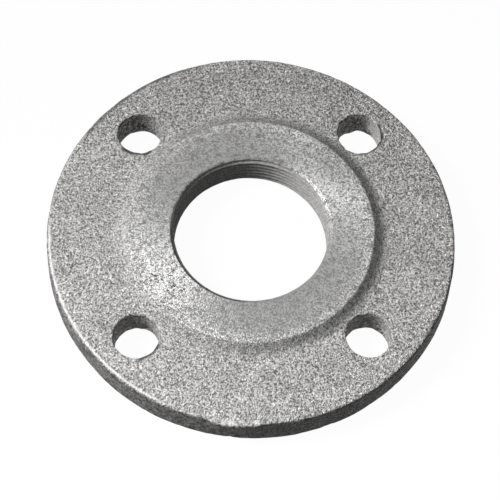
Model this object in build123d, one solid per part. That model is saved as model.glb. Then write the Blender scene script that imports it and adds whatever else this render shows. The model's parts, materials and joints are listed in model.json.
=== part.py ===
from build123d import *
import math
import os

# A threaded pipe flange, cast in one piece and dipped in zinc: a round plate with a low boss,
# a countersunk bore for the pipe's thread and four plain bolt holes.
# Millimetres. The origin is the centre of the flat mating face, and +Z runs along the bore,
# out through the boss. The bore is cut to the crests of its thread.

# Plate
plate_thickness = 13.2
rim_draft = 2.8
rim_top_round = 1.4
rim_bottom_round = 0.8

# Bore for the pipe
thread_crest_diameter = 58.0
countersink_width = 1.5
countersink_angle = 90.0

# Boss round the bore, with a hollow sweep at its foot
boss_wall = 17.2
boss_height = 2.6
boss_foot_width = 6.4
boss_edge_round = 0.8

# Bolt holes between the boss and the rim, straddling the X and Y axes
bolt_hole_diameter = 16.8
bolt_hole_count = 4
bolt_hole_bevel = 0.5
boss_to_bolt_hole = 5.4
bolt_hole_to_rim = 9.1

# What is left of the gate that the metal was poured through: a low swelling of the rim under
# the plate's upper edge, ground flat outside
gate_direction = 266.0
gate_curve_radius = 26.0
gate_proud = 0.9
gate_ground_off = 0.5
gate_height = 5.0
gate_fade = 2.5
gate_root_depth = 3.0

# The sizes that follow, from the bore outwards
bore_radius = thread_crest_diameter / 2
boss_radius = bore_radius + boss_wall
bolt_circle_radius = boss_radius + boss_to_bolt_hole + bolt_hole_diameter / 2
outer_radius = bolt_circle_radius + bolt_hole_diameter / 2 + bolt_hole_to_rim
total_height = plate_thickness + boss_height


def nearest_corner(shape, radius, height):
    """The corner of a profile that lies nearest to a radius and a height."""
    return shape.vertices().sort_by_distance(Vector(radius, 0, height))[0]


def body_of_revolution():
    """The plate, its boss and its bore, turned from half of the section."""
    top_radius = outer_radius - plate_thickness * math.tan(math.radians(rim_draft))
    mouth_radius = bore_radius + countersink_width
    mouth_depth = countersink_width / math.tan(math.radians(countersink_angle / 2))

    with BuildSketch(Plane.XZ) as section:
        with BuildLine():
            foot = (boss_radius + boss_foot_width, plate_thickness)
            boss_corner = (boss_radius, total_height)
            TangentArc(foot, boss_corner, tangent=(-1, 0))
            Polyline(
                boss_corner,
                (mouth_radius, total_height),
                (bore_radius, total_height - mouth_depth),
                (bore_radius, mouth_depth),
                (mouth_radius, 0),
                (outer_radius, 0),
                (top_radius, plate_thickness),
                foot,
            )
        make_face()
        fillet(nearest_corner(section.sketch, boss_radius, total_height), boss_edge_round)
        fillet(nearest_corner(section.sketch, top_radius, plate_thickness), rim_top_round)
        fillet(nearest_corner(section.sketch, outer_radius, 0), rim_bottom_round)
    return revolve(section.sketch, Axis.Z)


def bolt_hole():
    """One bolt hole as a solid to cut away, a little wider at both faces of the plate."""
    hole_radius = bolt_hole_diameter / 2
    mouth_radius = hole_radius + bolt_hole_bevel
    with BuildSketch(Plane.XZ) as section:
        with BuildLine():
            Polyline(
                (0, -boss_height),
                (mouth_radius, -boss_height),
                (mouth_radius, 0),
                (hole_radius, bolt_hole_bevel),
                (hole_radius, plate_thickness - bolt_hole_bevel),
                (mouth_radius, plate_thickness),
                (mouth_radius, total_height),
                (0, total_height),
                close=True,
            )
        make_face()
    return revolve(section.sketch, Axis.Z)


def gate_witness():
    """The edge of a disc that stands out of the rim, round like it above and fading out below."""
    reach = gate_proud + gate_ground_off
    with BuildSketch(Plane.XZ) as section:
        with BuildLine():
            Polyline(
                (0, plate_thickness - gate_height - gate_fade),
                (gate_curve_radius - reach, plate_thickness - gate_height - gate_fade),
                (gate_curve_radius, plate_thickness - gate_height),
                (gate_curve_radius, plate_thickness),
                (0, plate_thickness),
                close=True,
            )
        make_face()
        fillet(nearest_corner(section.sketch, gate_curve_radius, plate_thickness), rim_top_round)
    disc = Pos(outer_radius + reach - gate_curve_radius, 0, 0) * revolve(section.sketch, Axis.Z)
    ground_plane = Plane(origin=(outer_radius + gate_proud, 0, 0), z_dir=(1, 0, 0))
    root_plane = Plane(origin=(outer_radius - gate_root_depth, 0, 0), z_dir=(1, 0, 0))
    swelling = split(disc, bisect_by=ground_plane, keep=Keep.BOTTOM)
    swelling = split(swelling, bisect_by=root_plane, keep=Keep.TOP)
    return Rot(0, 0, gate_direction) * swelling


flange = body_of_revolution() + gate_witness()
for place in PolarLocations(bolt_circle_radius, bolt_hole_count, start_angle=180 / bolt_hole_count):
    flange -= place * bolt_hole()

os.makedirs("parts", exist_ok=True)
export_step(flange, "parts/flange.step")
print("flange:", len(flange.solids()), "solid,", round(flange.volume / 1000, 2), "cm3")
print("outer diameter", 2 * outer_radius, "mm, bolt circle", 2 * bolt_circle_radius, "mm")
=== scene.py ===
# %% [markdown]
# A threaded pipe flange in galvanised cast iron
# The real object is one casting: a round plate with a low turned boss, a threaded hole for the
# pipe and four plain holes for bolts, all under a dull skin of zinc. The model that fixes its
# sizes is loaded first. It is smooth, so this lesson builds the skin that a hand would feel:
# grain, soft edges, a thread and the marks of the lathe.

import json
import math

import bmesh
import bpy
import numpy as np
from mathutils import Matrix, Vector


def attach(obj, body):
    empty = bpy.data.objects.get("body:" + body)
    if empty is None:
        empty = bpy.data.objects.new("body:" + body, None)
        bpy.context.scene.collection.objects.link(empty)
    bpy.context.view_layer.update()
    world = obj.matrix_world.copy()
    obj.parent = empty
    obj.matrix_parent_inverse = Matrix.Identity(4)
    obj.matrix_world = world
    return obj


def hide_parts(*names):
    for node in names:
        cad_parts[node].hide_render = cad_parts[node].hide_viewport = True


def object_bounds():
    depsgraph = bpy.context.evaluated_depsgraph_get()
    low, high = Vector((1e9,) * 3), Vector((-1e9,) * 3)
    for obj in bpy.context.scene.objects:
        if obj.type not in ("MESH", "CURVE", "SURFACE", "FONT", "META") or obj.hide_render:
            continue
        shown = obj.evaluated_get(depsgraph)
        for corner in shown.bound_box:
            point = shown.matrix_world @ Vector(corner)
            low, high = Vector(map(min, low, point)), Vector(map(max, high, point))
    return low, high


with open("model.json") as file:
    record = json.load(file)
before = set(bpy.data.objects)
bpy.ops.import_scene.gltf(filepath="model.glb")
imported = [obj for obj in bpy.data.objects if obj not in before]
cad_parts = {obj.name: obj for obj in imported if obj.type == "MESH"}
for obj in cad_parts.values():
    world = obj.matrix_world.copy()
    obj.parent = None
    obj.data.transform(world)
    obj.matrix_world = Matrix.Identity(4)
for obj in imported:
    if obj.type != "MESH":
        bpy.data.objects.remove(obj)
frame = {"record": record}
cad_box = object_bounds()
MM = 0.001

mounts = {mount["name"]: mount["dims"] for mount in frame["record"]["mounts"]}
total_height = (cad_box[1].z - cad_box[0].z) / MM
outer_radius = (cad_box[1].x - cad_box[0].x) / 2 / MM
crest_radius = mounts["pipe_thread"]["r_mm"]
bolt_circle_radius = mounts["bolts"]["pcd_mm"] / 2
hole_radius = mounts["bolts"]["hole_r_mm"]
hole_count = mounts["bolts"]["count"]
print("plate radius", round(outer_radius, 2), "mm, height", round(total_height, 2), "mm")

# %% [markdown]
# The sizes that the frame doesn't name are written once here, in millimetres, and they are the
# real ones. Everything below is worked out from them, so the dressed piece lies on the solid.

# %% The section's own sizes
plate_thickness = 13.2
rim_draft = math.radians(2.8)
rim_top_round = 1.4
rim_bottom_round = 0.8
boss_radius = 46.2
boss_foot_width = 6.4
boss_edge_softness = 0.7
mouth_width = 1.5
mouth_radius = crest_radius + mouth_width
hole_bevel = 0.5
thread_pitch = 2.309
thread_depth = 1.15
boss_height = total_height - plate_thickness
foot_radius = boss_radius + boss_foot_width

# %% [markdown]
# The upper side is a height over the plan, so one formula gives its level at any radius. The
# foot of the boss is part of a circle that leaves the plate level, and the edge above it is
# worn soft. A smooth minimum joins the two, which is simpler than finding tangent points.


# %% The level of the upper side
def smooth_min(a, b, softness):
    """The lesser of two values, with a parabola in place of the corner where they cross."""
    blend = np.maximum(softness - np.abs(a - b), 0) / softness
    return np.minimum(a, b) - blend ** 2 * softness / 4


def upper_level(radius):
    """Height of the plate and the boss at a radius: the plate is flat, the foot is an arc that
    starts level on the plate and steepens inwards, and the boss's face cuts it off."""
    sweep = (boss_foot_width ** 2 + boss_height ** 2) / (2 * boss_height)
    inwards = np.clip(foot_radius - radius, 0, sweep * 0.9)
    foot = plate_thickness + sweep - np.sqrt(sweep ** 2 - inwards ** 2)
    return smooth_min(foot, total_height, boss_edge_softness)


foot_level = float(upper_level(np.array(foot_radius)))
print("foot of the boss at", foot_radius, "mm, level", round(foot_level, 2))

# %% [markdown]
# Every surface of the casting is a grid of two parameters: round the axis, and along a section.
# Grids are collected as plain arrays and welded into one closed skin at the end. A ring of
# triangles joins a fine grid to one with half as many columns, because the boss and the bore
# need fewer columns than the rim does.


# %% Grids and rings
grids = []


def add_grid(points, keep=None):
    """Stores a closed grid, rows by columns by xyz, as four corners for each cell. Where keep
    is given, it says which cells stay."""
    rows, columns = points.shape[:2]
    row = np.arange(rows - 1)[:, None]
    column = np.arange(columns)[None, :]
    after = (column + 1) % columns
    corners = [row * columns + column, row * columns + after]
    cells = np.stack([corners[0], corners[1], corners[1] + columns, corners[0] + columns], axis=-1)
    cells = cells if keep is None else cells[keep]
    grids.append((points.reshape(-1, 3), cells.reshape(-1, 4)))


def add_halving(fine, coarse):
    """Joins a ring of 2n points to a ring of n points with three triangles for each coarse step."""
    n = len(coarse)
    step = np.arange(n)
    first, middle, last = 2 * step, 2 * step + 1, (2 * step + 2) % (2 * n)
    low, high = 2 * n + step, 2 * n + (step + 1) % n
    triangles = np.concatenate([
        np.stack([first, middle, low], axis=-1),
        np.stack([middle, high, low], axis=-1),
        np.stack([middle, last, high], axis=-1),
    ])
    grids.append((np.concatenate([fine, coarse]), triangles))


def turned(section, columns):
    """Carries a section of (radius, height) points round the axis: x = r cos a, y = r sin a."""
    section = np.asarray(section, float)
    angle = 2 * np.pi * np.arange(columns) / columns
    radius = section[:, 0][:, None]
    height = np.broadcast_to(section[:, 1][:, None], (len(section), columns))
    return np.stack([radius * np.cos(angle), radius * np.sin(angle), height], axis=-1)


# %% [markdown]
# The plate is a ring with four holes in it. A polar grid can't follow a hole, so a block of
# cells round each one is left out, and a grid of rings fills the block: its lines run from the
# circle of the hole to the edge of the block. Both ends are known, so a straight blend between
# them is the whole formula.

# %% Plan of the plate
fine_columns = 720
coarse_columns = fine_columns // 2
block_inner, block_outer = 47.0, 74.0
block_rows = 46
block_half_columns = 28


def hole_column(index, columns):
    """The grid column on which a bolt hole's centre lies. The holes straddle the X and Y axes."""
    return columns // (2 * hole_count) + index * columns // hole_count


def block_outline(index, columns, rows, half):
    """The points round the block of one hole, in the order inner arc, side, outer arc, side."""
    centre = hole_column(index, columns)
    radii = np.linspace(block_inner, block_outer, rows + 1)
    across = centre + np.arange(-half, half)
    inner = np.stack([across, np.full(2 * half, block_inner)])
    side = np.stack([np.full(rows, centre + half), radii[:-1]])
    outer = np.stack([across[::-1] + 1, np.full(2 * half, block_outer)])
    back = np.stack([np.full(rows, centre - half), radii[:0:-1]])
    column, radius = np.concatenate([inner, side, outer, back], axis=1)
    angle = 2 * np.pi * column / columns
    return np.stack([radius * np.cos(angle), radius * np.sin(angle)], axis=-1)


def ring_block(outline, centre, start_radius, steps, level):
    """Rings from a circle round the centre to the outline: C + t (B - C), where C is the point
    of the circle that faces the outline's point B."""
    facing = outline - centre
    circle = centre + start_radius * facing / np.linalg.norm(facing, axis=1, keepdims=True)
    t = np.linspace(0, 1, steps + 1)[:, None, None]
    plan = circle + t * (outline - circle)
    height = level(np.hypot(plan[..., 0], plan[..., 1]))
    return np.concatenate([plan, height[..., None]], axis=-1)


def cells_outside_blocks(columns, rows, half):
    """True for each cell of a polar grid that lies in no hole's block."""
    spacing = columns // hole_count
    distance = (np.arange(columns) + 0.5 - spacing // 2 + spacing / 2) % spacing - spacing / 2
    return np.broadcast_to(np.abs(distance) > half, (rows, columns))


def flat_bottom(radius):
    """Height of the mating face, which is zero at every radius."""
    return np.zeros_like(radius)


# %% The plate's two faces and its bolt holes
hole_mouth = hole_radius + hole_bevel
top_radii = np.linspace(block_inner, block_outer, block_rows + 1)
top_section = np.stack([top_radii, upper_level(top_radii)], axis=-1)
add_grid(
    turned(top_section, fine_columns),
    cells_outside_blocks(fine_columns, block_rows, block_half_columns),
)
bottom_radii = np.linspace(block_inner, block_outer, block_rows // 2 + 1)
bottom_section = np.stack([bottom_radii, flat_bottom(bottom_radii)], axis=-1)
add_grid(
    turned(bottom_section, coarse_columns),
    cells_outside_blocks(coarse_columns, block_rows // 2, block_half_columns // 2),
)

rings_on_top, rings_below = 10, 4
wall_rows = 10
ring_round_lower_mouth = 0.6
bevel = np.array([[0.5, 0.14], [0.14, 0.5]]) * hole_bevel
straight = np.linspace(hole_bevel, plate_thickness - hole_bevel, wall_rows)
wall_radius = hole_radius + np.concatenate(
    [bevel[:, 0], np.zeros(wall_rows), bevel[::-1, 0], [hole_bevel]])
wall_level = np.concatenate(
    [plate_thickness - bevel[:, 1], plate_thickness - straight, bevel[::-1, 1], [0.0]])

hole_centres = []
for index in range(hole_count):
    angle = 2 * np.pi * hole_column(index, fine_columns) / fine_columns
    centre = bolt_circle_radius * np.array([math.cos(angle), math.sin(angle)])
    hole_centres.append(centre)
    outline = block_outline(index, fine_columns, block_rows, block_half_columns)
    top_rings = ring_block(outline, centre, hole_mouth, rings_on_top, upper_level)
    add_grid(top_rings)

    mouth = top_rings[0]
    facing = (mouth[:, :2] - centre) / hole_mouth
    plan = centre + wall_radius[:, None, None] * facing
    level = np.broadcast_to(wall_level[:, None, None], plan.shape[:2] + (1,))
    wall = np.concatenate([mouth[None], np.concatenate([plan, level], axis=-1)])
    add_grid(wall)

    outline = block_outline(index, coarse_columns, block_rows // 2, block_half_columns // 2)
    start_radius = hole_mouth + ring_round_lower_mouth
    bottom_rings = ring_block(outline, centre, start_radius, rings_below, flat_bottom)
    add_halving(wall[-1], bottom_rings[0])
    add_grid(bottom_rings)
print("bolt holes:", len(hole_centres), "of radius", hole_radius, "mm, grids so far:", len(grids))

# %% [markdown]
# The rim leans in a little towards the top, as a casting does so that it can leave its mould,
# and both of its edges are round. Arcs are written as a centre, a radius and two angles.


# %% Rim
def arc(centre, radius, start, end, steps):
    """Points on a circle of (radius, height) between two angles, both in radians."""
    angle = np.linspace(start, end, steps + 1)
    return np.asarray(centre) + radius * np.stack([np.cos(angle), np.sin(angle)], axis=-1)


def rim_centre(round_radius, height):
    """Centre of an edge round that touches the leaning rim and one of the plate's faces."""
    lean = height * math.tan(rim_draft)
    return (outer_radius - lean - round_radius / math.cos(rim_draft), height)


top_centre = rim_centre(rim_top_round, plate_thickness - rim_top_round)
low_centre = rim_centre(rim_bottom_round, rim_bottom_round)
top_arc = arc(top_centre, rim_top_round, math.pi / 2, rim_draft, steps=5)
low_arc = arc(low_centre, rim_bottom_round, rim_draft, -math.pi / 2, steps=3)
rim_wall = np.linspace(top_arc[-1], low_arc[0], 13)[1:-1]
flat_edge = np.linspace([block_outer, plate_thickness], top_arc[0], 4)[:-1]
rim = turned(np.concatenate([flat_edge, top_arc, rim_wall, low_arc]), fine_columns)
add_grid(rim)
add_halving(rim[-1], turned([[block_outer, 0.0]], coarse_columns)[0])
print("rim rows:", len(rim))

# %% [markdown]
# The bore carries a pipe thread, which is a radius that depends on the height and the angle
# together: along the helix the two cancel. The countersinks are cones that widen both mouths,
# and the wall is whichever of the three is widest.


# %% Boss and bore
crest_share = 0.2


def thread_radius(angle, height):
    """Radius of the wall: a wave of one pitch whose phase moves up by a pitch each turn, with
    flat crests and roots, or the cone of the nearer countersink where that is wider."""
    phase = (height / thread_pitch - angle / (2 * np.pi)) % 1
    flank = np.clip((np.abs(2 * phase - 1) - crest_share) / (1 - 2 * crest_share), 0, 1)
    to_mouth = np.minimum(height, total_height - height)
    cone = crest_radius + mouth_width - to_mouth
    return np.maximum(crest_radius + thread_depth * flank, cone)


boss_radii = np.concatenate([
    [mouth_radius, mouth_radius + 0.25],
    np.linspace(31.2, 44.8, 28),
    [45.2, 45.55, 45.85, 46.15, 46.5],
])
boss = turned(np.stack([boss_radii, upper_level(boss_radii)], axis=-1), coarse_columns)
add_grid(boss)
boss_foot = turned([[block_inner, upper_level(block_inner)]], fine_columns)
add_halving(boss_foot[0], boss[-1])

seat_radii = np.concatenate([
    [mouth_radius, mouth_radius + 0.4],
    np.linspace(32.5, block_inner, 8),
])
seat = turned(np.stack([seat_radii, flat_bottom(seat_radii)], axis=-1), coarse_columns)
add_grid(seat)

bore_columns = coarse_columns // 2
bore_rows = 67
below_mouth = 0.3
bore_heights = np.linspace(total_height - below_mouth, below_mouth, bore_rows)[:, None]
bore_angle = 2 * np.pi * np.arange(bore_columns)[None, :] / bore_columns
bore_radius = thread_radius(bore_angle, bore_heights)
bore = np.stack([
    bore_radius * np.cos(bore_angle),
    bore_radius * np.sin(bore_angle),
    np.broadcast_to(bore_heights, bore_radius.shape),
], axis=-1)
add_grid(bore)
add_halving(boss[0], bore[0])
add_halving(seat[0], bore[-1])
print("thread turns:", round(total_height / thread_pitch, 1))

# %% [markdown]
# Grids that share an edge also share its points, so a weld closes the skin. Only then is it
# known which way is out, and the relief is pushed along those normals. Relief is made from
# random values on a cubic lattice, blended between the lattice points. A hash of the lattice
# indices gives the values, so that the same flange comes out each time.


# %% Repeatable relief
def lattice_value(x, y, z, seed):
    """A number from 0 to 1 for each lattice point: its indices are multiplied by large primes,
    mixed by exclusive or, and folded twice."""
    mixed = (x * 73856093) ^ (y * 19349663) ^ (z * 83492791) ^ (seed * 49979687)
    mixed = ((mixed ^ (mixed >> 13)) * 1274126177) & 0x7FFFFFFF
    return ((mixed ^ (mixed >> 15)) & 0xFFFF) / 65535


def relief(points, cell, seed):
    """Smooth noise from -1 to 1 with bumps about one cell apart: the eight lattice values round
    a point, each weighted by the smoothstep of its nearness on every axis."""
    place = points / cell + 1000
    base = np.floor(place).astype(np.int64)
    t = place - base
    t = t * t * (3 - 2 * t)
    total = np.zeros(len(points))
    for corner in np.ndindex(2, 2, 2):
        weight = np.prod(np.where(np.array(corner) == 1, t, 1 - t), axis=1)
        total += weight * lattice_value(*(base + corner).T, seed)
    return 2 * total - 1


def step(value, low, high):
    """Rises smoothly from 0 at low to 1 at high."""
    t = np.clip((value - low) / (high - low), 0, 1)
    return t * t * (3 - 2 * t)


# %% Weld the grids
starts = np.cumsum([0] + [len(points) for points, faces in grids])
all_points = np.concatenate([points for points, faces in grids])
all_faces = []
for start, (points, faces) in zip(starts, grids):
    all_faces += (faces + start).tolist()
mesh = bpy.data.meshes.new("flange_skin")
mesh.from_pydata(all_points, [], all_faces)
work = bmesh.new()
work.from_mesh(mesh)
bmesh.ops.remove_doubles(work, verts=work.verts, dist=0.001)
bmesh.ops.recalc_face_normals(work, faces=work.faces)
print("open edges:", sum(not edge.is_manifold for edge in work.edges))
work.to_mesh(mesh)
work.free()

# %% [markdown]
# A sand casting is never quite round. The rim swells and pulls in by half a millimetre over
# long arcs, the mouths of the cored holes are ragged, and at the front a low swelling is left
# where the gate was ground back. These are moves in plan, made before the fine relief.

# %% Uneven outline, ragged holes and the gate
count = len(mesh.vertices)
flat = np.empty(count * 3, np.float32)
mesh.vertices.foreach_get("co", flat)
place = flat.reshape(-1, 3).astype(float)
mesh.vertex_normals.foreach_get("vector", flat)
normal = flat.reshape(-1, 3).astype(float)
radius = np.hypot(place[:, 0], place[:, 1])
angle = np.arctan2(place[:, 1], place[:, 0])
outwards = place * [1, 1, 0] / radius[:, None]

gate_direction = math.radians(265.0)
gate_curve_radius = 26.0
gate_proud = 0.9
gate_reach = 1.4
gate_height = 5.0
gate_fade = 2.5
turn = angle - gate_direction
gate_centre = outer_radius + gate_reach - gate_curve_radius
inside_root = np.maximum(gate_curve_radius ** 2 - (gate_centre * np.sin(turn)) ** 2, 0)
swell = gate_centre * np.cos(turn) + np.sqrt(inside_root)
swell = np.minimum(swell, (outer_radius + gate_proud) / np.maximum(np.cos(turn), 0.5))
swell = np.clip(swell - outer_radius, 0, gate_proud) * (np.cos(turn) > 0.9)
gate_foot = plate_thickness - gate_height
swell *= step(place[:, 2], gate_foot - gate_fade, gate_foot)

pulled_in = -0.20
oval = -0.22 * np.sin(2 * angle)
fuller_side = 0.22 * np.cos(angle - math.radians(310))
uneven = pulled_in + oval + fuller_side + 0.12 * relief(place * [1, 1, 0.3], 12.0, 3)
on_axes = np.cos(2 * angle) ** 8
uneven = np.minimum(uneven, 0.35 - 0.45 * on_axes)
near_rim = step(radius, 68.0, 75.5)
place += outwards * ((swell + uneven) * near_rim)[:, None]

for index, centre in enumerate(hole_centres):
    from_centre = place[:, :2] - centre
    distance = np.hypot(*from_centre.T)
    amount = 0.45 if index == 0 else 0.25
    broad, small = relief(place * [1, 1, 0.4], 4.0, 20 + index), relief(place, 1.8, 30 + index)
    ragged = amount * (broad + 0.6 * small) * step(distance, 11.5, 8.8) * (distance > 1)
    place[:, :2] += from_centre / distance[:, None] * ragged[:, None]
print("gate swelling:", round(float(swell.max()), 2), "mm, rim pulled in by up to",
      round(float(-uneven.min()), 2), "mm")

# %% [markdown]
# Dirt, wear and painted light aren't spread evenly. The hollow round the boss is darkened as
# painted shade, most on the right, away from the lamp, and so is the near left edge of the bore.
# Dark zinc and dirt lie along the far edge and in patches on the rim, and dark lines run round
# parts of three of the hole mouths. The walls of the holes are darkened as painted shade, most on
# one side, and one wall has a painted highlight. The near left edge of the plate has a raised line
# where the two halves of the mould met, coloured light as a painted highlight. Each is worked out
# here for every point of the skin, as a number from 0 to 1, because only here is it known how far
# each point was from the axis before the outline was made uneven.


# %% Dirt, painted shade and painted highlights
def sector(angle, centre, half, fade):
    """1 within half degrees of a direction, falling to 0 over the fade, also in degrees."""
    away = np.abs((np.degrees(angle) - centre + 180) % 360 - 180)
    return 1 - step(away, half, half + fade)


def band(value, low, high, fade):
    """1 between two values, falling to 0 over the fade on both sides."""
    return step(value, low - fade, low) * (1 - step(value, high, high + fade))


upper = step(place[:, 2], plate_thickness - 1.2, plate_thickness - 0.5)
broken = step(relief(place, 2.4, 41), -0.45, 0.15)
# Painted shade: the hollow round the boss is darkened, most on the right, the side away from the
# lamp.
foot_painted_shade = (1 - step(radius, 48.2, 52.4)) * step(radius, 46.0, 46.6) * upper
foot_painted_shade *= 0.39 + 0.28 * np.cos(angle + 0.1)
far_left, near_left, gate_side, bore_near_left = 127, 212, 266, 220
edge_line = band(radius, 75.3, 78.0, 0.4) * sector(angle, far_left, 14, 12)
edge_grime = edge_line * upper * (0.38 + 0.26 * broken)
rim_patches = step(relief(place, 2.2, 42) + relief(place, 7.0, 44), -0.4, 0.7)
rim_grime = 0.4 * step(radius, 76.3, 76.9) * rim_patches
# Painted shade: the near left edge of the bore's mouth, which faces away from the lamp, is
# darkened.
bore_edge_painted_shade = band(radius, crest_radius + 0.4, mouth_radius - 0.3, 0.3)
bore_edge_painted_shade *= sector(angle, bore_near_left, 38, 14)
bore_edge_painted_shade *= 0.8 * step(place[:, 2], total_height - 2.0, total_height - 1.5)
grime = np.maximum.reduce([foot_painted_shade, edge_grime, rim_grime, bore_edge_painted_shade])

# For each marked hole: the middle of the mark in degrees, half its length, and its reach in mm
mouth_marks = {0: (330.0, 54.0, 0.25), 1: (262.0, 32.0, 0.6), 2: (308.0, 26.0, 0.3)}
shaded_side = 140
# Painted shade: the walls of the holes are darkened, most on their far left side, which faces away
# from the lamp.
wall = np.zeros(count)
glint = np.zeros(count)
for index, centre in enumerate(hole_centres):
    from_centre = place[:, :2] - centre
    distance = np.hypot(*from_centre.T)
    facing = np.arctan2(from_centre[:, 1], from_centre[:, 0])
    inside = step(distance, hole_radius + 0.6, hole_radius + 0.2)
    wall = np.maximum(wall, inside * (0.2 + 0.62 * sector(facing, shaded_side, 45, 50)))
    # Painted highlight: the right wall of the first hole, which faces the lamp, is coloured light.
    if index == 0:
        glint = 0.5 * inside * sector(facing, 0, 48, 24)
    if index in mouth_marks:
        middle, half, reach = mouth_marks[index]
        mark = band(distance, hole_radius, hole_mouth + reach, 0.25)
        mark *= sector(facing, middle, half, 14)
        grime = np.maximum(grime, 0.9 * mark * upper)

# A raised line, also coloured light through the bright mark as a painted highlight.
seam_and_highlight = band(radius, 75.4, 75.9, 0.35) * sector(angle, near_left, 30, 6)
seam_and_highlight *= upper * (0.7 + 0.3 * broken)
gate_spots = band(radius, 75.2, 76.6, 0.5) * sector(angle, gate_side, 4, 3)
gate_spots *= upper * step(relief(place, 1.4, 43), 0.0, 0.3)
bright = np.maximum.reduce([seam_and_highlight, gate_spots, glint])
place += normal * (0.2 * seam_and_highlight)[:, None]
on_rim = step(radius, 76.3, 76.8)
for name, amount in (("grime", grime), ("bright", bright), ("rim", on_rim), ("wall", wall)):
    attribute = mesh.attributes.new(name, "FLOAT", "POINT")
    attribute.data.foreach_set("value", np.clip(amount, 0, 1).astype(np.float32))
print("points with grime:", int((grime > 0.3).sum()), "bright:", int((bright > 0.3).sum()))

# %% [markdown]
# The fine relief is strongest on the cast faces, faint on the turned boss and the mating face,
# and broken into small lumps on the thread, where zinc has gathered.

# %% Fine relief
height = place[:, 2]
on_boss = step(radius, 46.6, 45.6) * step(height, total_height - 0.5, total_height - 0.2)
in_bore = step(radius, mouth_radius + 0.3, mouth_radius - 0.1)
on_seat = step(height, 0.5, 0.0) * step(radius, 76.6, 75.6)
smooth = np.maximum.reduce([on_boss, in_bore, on_seat])

coarse_grain = 0.055 * relief(place, 1.7, 1) + 0.04 * relief(place, 3.1, 2)
waves = 0.07 * relief(place, 9.0, 4) + 0.05 * relief(place, 24.0, 5)
pits = -0.16 * step(relief(place, 2.2, 6), 0.45, 0.8)
cast = coarse_grain + waves + pits - 0.04
light = 0.012 * relief(place, 1.5, 7) + 0.015 * relief(place, 7.0, 8) - 0.02
lumps = 0.05 * relief(place, 1.6, 9)
push = cast * (1 - smooth) + light * smooth + lumps * in_bore
place += normal * push[:, None]

place[:, 2] = np.clip(place[:, 2], 0.0, total_height)
mesh.vertices.foreach_set("co", (place * MM).astype(np.float32).ravel())
mesh.update()
print("points:", count, "triangles:", sum(len(face.vertices) - 2 for face in mesh.polygons))

# %% [markdown]
# The casting has one zinc coat over four kinds of surface: the cast skin, the turned face of the
# boss, the turned mating face, and the thread. A finish is a graph of nodes, and a graph is easier
# to read as sums and products, so a small class lets sockets be added and multiplied like numbers.


# %% Shader maths as Python
class Value:
    """A socket of a node tree. Its operators add Math nodes, so an expression builds a graph."""

    def __init__(self, tree, socket):
        self.tree, self.socket = tree, socket

    def math(self, operation, *others):
        """Adds one Math node fed by this value and the others."""
        inputs = dict(enumerate((self, *others)))
        return self.tree.node("ShaderNodeMath", {"operation": operation}, inputs)

    def __add__(self, other):
        return self.math("ADD", other)

    def __sub__(self, other):
        return self.math("SUBTRACT", other)

    def __rsub__(self, other):
        return self.tree.node("ShaderNodeMath", {"operation": "SUBTRACT"}, {0: other, 1: self})

    def __mul__(self, other):
        return self.math("MULTIPLY", other)

    __radd__, __rmul__ = __add__, __mul__

    def ramp(self, low, high):
        """0 below low and 1 above high, with a straight rise between."""
        inputs = {"Value": self, "From Min": low, "From Max": high}
        return self.tree.node("ShaderNodeMapRange", {"clamp": True}, inputs)


class Tree:
    """The node tree of a material or a world, with one method that adds any node."""

    def __init__(self, owner):
        owner.use_nodes = True
        self.owner = owner
        self.nodes, self.links = owner.node_tree.nodes, owner.node_tree.links
        self.nodes.clear()

    def node(self, kind, settings=None, inputs=None, output=0):
        """Adds a node, sets it up, feeds its sockets and returns one output."""
        node = self.nodes.new(kind)
        for key, setting in (settings or {}).items():
            setattr(node, key, setting)
        for key, value in (inputs or {}).items():
            if isinstance(value, Value):
                self.links.new(value.socket, node.inputs[key])
            else:
                node.inputs[key].default_value = value
        return Value(self, node.outputs[output])

    def noise(self, size, detail=2.0, roughness=0.5, distortion=0.0):
        """Noise from 0 to 1 whose features are about size millimetres across."""
        inputs = {"Vector": self.place(), "Scale": 1 / (size * MM), "Detail": detail,
                  "Roughness": roughness, "Distortion": distortion}
        return self.node("ShaderNodeTexNoise", {}, inputs)

    def place(self):
        """Object coordinates, in metres."""
        return self.node("ShaderNodeTexCoord", {}, {}, "Object")

    def radius(self):
        """Distance from the axis, in metres."""
        inputs = {0: self.place(), 1: (1, 1, 0)}
        plan = self.node("ShaderNodeVectorMath", {"operation": "MULTIPLY"}, inputs)
        return self.node("ShaderNodeVectorMath", {"operation": "LENGTH"}, {0: plan}, "Value")

    def attribute(self, name):
        """A number that the mesh keeps for each of its points."""
        return self.node("ShaderNodeAttribute", {"attribute_name": name}, {}, "Fac")

    def near(self, point, inner, outer):
        """1 within inner metres of a point, falling to 0 at outer metres."""
        inputs = {0: self.place(), 1: point}
        distance = self.node("ShaderNodeVectorMath", {"operation": "DISTANCE"}, inputs, "Value")
        return 1.0 - distance.ramp(inner, outer)

    def mix(self, factor, low, high):
        """A colour between two others."""
        return self.node("ShaderNodeMix", {"data_type": "RGBA"}, {0: factor, 6: low, 7: high}, 2)

    def finish(self, shader, output_kind="ShaderNodeOutputMaterial"):
        """Ends the tree in its surface shader and returns what the tree belongs to."""
        output = self.nodes.new(output_kind)
        self.links.new(shader.socket, output.inputs["Surface"])
        return self.owner


def grey(level, warmth=0.0):
    """A grey in linear light, warmer or cooler by a small share."""
    return (level * (1 + warmth), level, level * (1 - warmth), 1.0)


# %% [markdown]
# Cast zinc. Each grain of the sand has left a dimple, and the zinc has frozen in flecks that
# are lighter or darker than their neighbours. Colour, roughness and bump all read the same
# noise, so a dark place is also a hollow. Rough zinc scatters nearly all its light, so it is
# only a little metallic, most of all in the flecks. The rim is duller than the faces, and its
# colour is painted darker as shade. The walls of the holes carry painted shade too, and the
# bright marks are painted highlights, apart from light spots on the gate.


# %% Cast zinc
grain_relief = 0.0014


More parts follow.
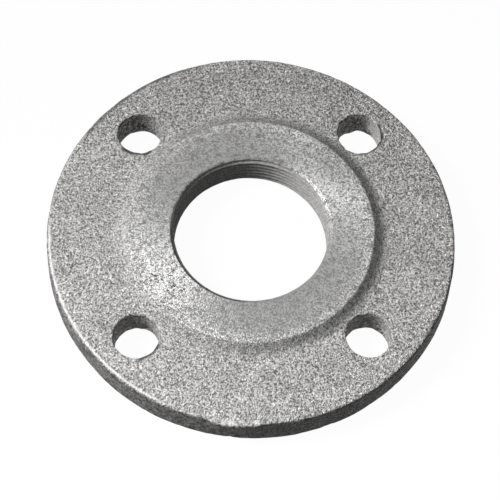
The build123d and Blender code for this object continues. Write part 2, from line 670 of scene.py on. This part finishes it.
def cast_zinc():
    """Grey with light flecks and dark pits about a millimetre apart, darker round the rim and on
    the walls of the holes as painted shade."""
    tree = Tree(bpy.data.materials.new("cast_zinc"))
    grain = tree.noise(0.58, 2.0, 0.6, 0.3)
    flecks = tree.noise(0.95, 2.0, 0.55, 0.6)
    cloud = tree.noise(9.0, 3.0, 0.6)
    tone = grain * 0.6 + flecks * 0.4
    dark = tree.mix(cloud.ramp(0.35, 0.65), grey(0.11, 0.01), grey(0.16, 0.02))
    light = tree.mix(cloud.ramp(0.35, 0.65), grey(0.70, 0.012), grey(0.82, 0.02))
    colour = tree.mix(tone.ramp(0.40, 0.61), dark, light)
    rim = tree.attribute("rim")
    rim_tone = tone * 0.6 + tree.noise(1.7, 2.0, 0.6, 0.5) * 0.4
    # The rim's darker colour is painted shade on the side; its zinc is also duller, with no
    # metallic flecks.
    shaded_rim_colour = tree.mix(rim_tone.ramp(0.42, 0.58), grey(0.012, 0.02), grey(0.35, 0.02))
    colour = tree.mix(rim * 0.95, colour, shaded_rim_colour)
    # Painted shade: the walls of the holes are darker, most on the side that faces away from the
    # lamp.
    wall_tone = tone * 0.55 + tree.noise(1.3, 2.0, 0.6, 0.2) * 0.45
    painted_wall_shade_colour = tree.mix(wall_tone.ramp(0.42, 0.60), grey(0.03, 0.02), grey(0.52, 0.02))
    colour = tree.mix(tree.attribute("wall"), colour, painted_wall_shade_colour)
    # Painted highlights: the raised seam line and the right wall of the first hole are coloured
    # light; light spots lie on the gate.
    colour = tree.mix(tree.attribute("bright") * 0.85, colour, grey(0.86, 0.01))
    # Dark marks: painted shade round the boss's foot and at the bore's near left edge, and dark
    # zinc and dirt elsewhere.
    colour = tree.mix(tree.attribute("grime"), colour, grey(0.022, 0.03))
    roughness = 0.68 - tone.ramp(0.4, 0.62) * 0.24
    metallic = flecks.ramp(0.5, 0.68) * (1.0 - rim) * 0.5
    bump = {"Strength": 1.0, "Distance": grain_relief, "Height": tone}
    normal = tree.node("ShaderNodeBump", {}, bump)
    shader = tree.node("ShaderNodeBsdfPrincipled", {}, {
        "Base Color": colour, "Metallic": metallic, "Roughness": roughness, "Normal": normal,
        "Specular IOR Level": 0.15,
    })
    return tree.finish(shader)


# %% [markdown]
# Turned zinc. A lathe leaves fine rings, and light that comes from one side spreads across them,
# so a turned face shows a bright fan that runs out from the axis on two sides. An anisotropic
# shader gives that fan with no rings in the mesh. It takes the direction of the rings from the
# piece's own centre, and a quarter turn of it lays the fan across them. Only the clear spots of
# the zinc are metallic, one place on the boss is pitted, and towards its edge the boss turns
# into the cast skin.


# %% Turned zinc
def turned_zinc(name, fade_from, fade_to, dull_patch):
    """Smoother zinc over the rings that a lathe left, with a highlight that spreads across them.
    Between two distances from the axis it turns into the cast skin."""
    tree = Tree(bpy.data.materials.new(name))
    rings_per_metre = 1600.0
    along = tree.node("ShaderNodeCombineXYZ", {}, {0: tree.radius() * rings_per_metre})
    rings = tree.node("ShaderNodeTexNoise", {}, {"Vector": along, "Scale": 1.0, "Detail": 2.0})
    grain = tree.noise(0.58, 2.0, 0.6, 0.3)
    flecks = tree.noise(0.95, 2.0, 0.55, 0.6)
    cloud = tree.noise(7.0, 3.0, 0.6)
    tone = grain * 0.55 + flecks * 0.37 + rings * 0.08
    patch = tree.near((0.0375, 0.033, total_height * MM), 0.010, 0.018) * dull_patch
    dull = patch + cloud.ramp(0.5, 0.75) * 0.6
    pitted = tree.near((-0.030, -0.023, total_height * MM), 0.009, 0.015)
    groups = tree.noise(3.5, 1.0, 0.5).ramp(0.50, 0.56)
    pits = tree.noise(0.9, 1.0, 0.5, 0.3).ramp(0.585, 0.62) * groups * pitted
    clear = tone.ramp(0.41, 0.49) * tree.noise(2.3, 3.0, 0.7, 0.4).ramp(0.36, 0.44) * (1.0 - pits)
    edge = tree.radius().ramp(0.034, 0.0465)
    outer = tree.radius().ramp(fade_from, fade_to)
    plain = tree.mix(cloud.ramp(0.35, 0.65), grey(0.31), grey(0.40, 0.01))
    grainy = tree.mix(tone.ramp(0.40, 0.60), grey(0.15, 0.01), grey(0.60, 0.01))
    cast = tree.mix(tone.ramp(0.40, 0.61), grey(0.13, 0.01), grey(0.76, 0.012))
    colour = tree.mix(clear, grey(0.20, 0.01), tree.mix(edge * 0.55 + 0.35, plain, grainy))
    colour = tree.mix(dull.ramp(0.0, 1.0) * 0.25, colour, grey(0.12, 0.02))
    colour = tree.mix(pits * 0.75, colour, grey(0.05, 0.02))
    colour = tree.mix(outer, colour, cast)
    # Dark marks: painted shade round the boss's foot and at the bore's near left edge.
    colour = tree.mix(tree.attribute("grime"), colour, grey(0.022, 0.03))
    metallic = clear * (0.86 - dull.ramp(0.0, 1.0) * 0.45) * (1.0 - outer * 0.7)
    height = (tone - 0.5) * (outer * 0.7 + edge * 0.1 + 0.2)
    bump = {"Strength": 1.0, "Distance": grain_relief, "Height": height}
    normal = tree.node("ShaderNodeBump", {}, bump)
    roughness = 0.56 - clear * 0.1
    shader = tree.node("ShaderNodeBsdfPrincipled", {}, {
        "Base Color": colour, "Metallic": metallic, "Roughness": roughness, "Normal": normal,
        "Anisotropic": 0.85, "Anisotropic Rotation": 0.25, "Specular IOR Level": 0.2,
    })
    return tree.finish(shader)


# %% [markdown]
# Zinc in the thread. The thread is form, so its finish can be plain: a dull grey with fine grain.


# %% Zinc in the thread
def bore_zinc():
    """Dull zinc that has run into the thread: plain grey with fine grain."""
    tree = Tree(bpy.data.materials.new("bore_zinc"))
    grain = tree.noise(0.7, 3.0, 0.6, 0.3)
    colour = tree.mix(grain.ramp(0.35, 0.65), grey(0.24, 0.01), grey(0.44, 0.015))
    normal = tree.node("ShaderNodeBump", {}, {"Strength": 0.7, "Distance": 0.0003, "Height": grain})
    shader = tree.node("ShaderNodeBsdfPrincipled", {}, {
        "Base Color": colour, "Metallic": 0.05, "Roughness": 0.6, "Normal": normal,
        "Specular IOR Level": 0.15,
    })
    return tree.finish(shader)


# %% [markdown]
# Each face takes its finish by where it lies, which one comparison of whole arrays decides. The
# finished piece then stands for the solid, takes its material slot and rides with it.

# %% Give each face its finish
mesh.materials.append(cast_zinc())
mesh.materials.append(turned_zinc("boss_zinc", 0.042, 0.0505, 1.0))
mesh.materials.append(bore_zinc())
mesh.materials.append(turned_zinc("seat_zinc", 0.1, 0.2, 0.0))
centres = np.empty(len(mesh.polygons) * 3, np.float32)
mesh.polygons.foreach_get("center", centres)
centres = centres.reshape(-1, 3) / MM
face_radius = np.hypot(centres[:, 0], centres[:, 1])
is_boss = (face_radius < 51.0) & (centres[:, 2] > plate_thickness / 2)
is_seat = (centres[:, 2] < 0.15) & (face_radius < 76.0)
is_bore = (face_radius < 30.3) & (centres[:, 2] > 1.2) & (centres[:, 2] < total_height - 1.2)
finish = np.select([is_bore, is_boss, is_seat], [2, 1, 3], 0).astype(np.int32)
mesh.polygons.foreach_set("material_index", finish)
mesh.polygons.foreach_set("use_smooth", np.ones(len(mesh.polygons), bool))
mesh.update()

flange = bpy.data.objects.new("flange_skin", mesh)
bpy.context.scene.collection.objects.link(flange)
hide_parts("flange")
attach(flange, "root")
print("faces of each finish:", np.bincount(finish).tolist())

# %% [markdown]
# The part stands on a pale floor. The camera sees the floor and the world as white, and so do
# reflections, but the light that they throw on the part is the plain grey of a dim room. That
# keeps the rim dark, as in the photograph.


# %% Floor and world
room_level = 0.08
shadow_share = 0.03
half_floor = 8.0
below_part = 0.0002


def seen_directly(tree):
    """1 for rays from the camera, from a reflection or through glass, and 0 for the rest."""
    rays = tree.node("ShaderNodeLightPath").socket.node
    camera, glossy, through = (Value(tree, rays.outputs[name]) for name in
                               ("Is Camera Ray", "Is Glossy Ray", "Is Transmission Ray"))
    return camera.math("MAXIMUM", glossy).math("MAXIMUM", through)


def floor_material():
    """White with a faint shadow where it is seen, and grey for the light that it throws back."""
    tree = Tree(bpy.data.materials.new("pale_floor"))
    plain = tree.node("ShaderNodeBsdfDiffuse", {}, {"Color": grey(room_level)})
    white = tree.node("ShaderNodeEmission", {}, {"Color": grey(1.0), "Strength": 1.0})
    shaded = tree.node("ShaderNodeBsdfDiffuse", {}, {"Color": grey(0.9)})
    seen = tree.node("ShaderNodeMixShader", {}, {0: shadow_share, 1: white, 2: shaded})
    inputs = {0: seen_directly(tree), 1: plain, 2: seen}
    return tree.finish(tree.node("ShaderNodeMixShader", {}, inputs))


floor_mesh = bpy.data.meshes.new("floor")
floor_corners = half_floor * np.array([(-1, -1, 0), (1, -1, 0), (1, 1, 0), (-1, 1, 0)])
floor_mesh.from_pydata(floor_corners.tolist(), [], [(0, 1, 2, 3)])
floor_mesh.materials.append(floor_material())
floor = bpy.data.objects.new("floor", floor_mesh)
floor.location.z = -below_part
bpy.context.scene.collection.objects.link(floor)

world = bpy.data.worlds.new("dim_room")
bpy.context.scene.world = world
world_tree = Tree(world)
room = world_tree.node("ShaderNodeBackground", {}, {"Color": grey(room_level), "Strength": 1.0})
white = world_tree.node("ShaderNodeBackground", {}, {"Color": grey(1.0), "Strength": 1.0})
inputs = {0: seen_directly(world_tree), 1: room, 2: white}
world_tree.finish(world_tree.node("ShaderNodeMixShader", {}, inputs), "ShaderNodeOutputWorld")
print("room level:", room_level, "share of the floor that takes the shadow:", shadow_share)

# %% [markdown]
# One soft lamp stands to the left, about as high as it is far. Its beam is narrow and is aimed
# in front of the part, which leaves the far side of the plate a little darker than the near side.
# The camera looks down steeply, and its place was worked out from the ellipses of the plate, the
# boss and the bore.


# %% Camera and lamp
def direction(azimuth, elevation):
    """Unit vector towards a place round the part: azimuth 0 is the front, and 90 the right."""
    a, e = math.radians(azimuth), math.radians(elevation)
    return Vector((math.sin(a) * math.cos(e), -math.cos(a) * math.cos(e), math.sin(e)))


view_azimuth, view_elevation, view_roll = -3.705, 64.0, math.radians(3.256)
view_distance = 0.601
view_lens = 115.84
aim_forward = -0.00778
turned_view = Matrix.Rotation(math.radians(view_azimuth), 3, "Z")
aim = turned_view @ Vector((0, aim_forward, plate_thickness * MM))
back = direction(view_azimuth, view_elevation)
right = Vector((0, 0, 1)).cross(back).normalized()
up = back.cross(right)
turned_right = right * math.cos(view_roll) + up * math.sin(view_roll)
turned_up = up * math.cos(view_roll) - right * math.sin(view_roll)
camera = bpy.data.objects.new("camera", bpy.data.cameras.new("camera"))
camera.data.lens = view_lens
camera.data.clip_start = 0.01
axes = Matrix((turned_right, turned_up, back)).transposed()
camera.matrix_world = Matrix.Translation(aim + back * view_distance) @ axes.to_4x4()
bpy.context.scene.collection.objects.link(camera)
bpy.context.scene.camera = camera

lamp_from_view, lamp_elevation, lamp_distance = -86.0, 47.0, 0.95
lamp_target = Vector((0.0, -0.22, 0.0))
lamp_data = bpy.data.lights.new("key", "AREA")
lamp_data.shape = "SQUARE"
lamp_data.size = 0.35
lamp_data.energy = 1.98
lamp_data.spread = math.radians(56)
lamp = bpy.data.objects.new("key", lamp_data)
lamp.location = direction(view_azimuth + lamp_from_view, lamp_elevation) * lamp_distance
lamp.rotation_mode = "QUATERNION"
lamp.rotation_quaternion = (lamp.location - lamp_target).to_track_quat("Z", "Y")
bpy.context.scene.collection.objects.link(lamp)

bpy.context.scene.view_settings.view_transform = "Standard"
print("camera at", [round(value, 3) for value in camera.matrix_world.translation], "m, lamp at",
      [round(value, 3) for value in lamp.location], "m")
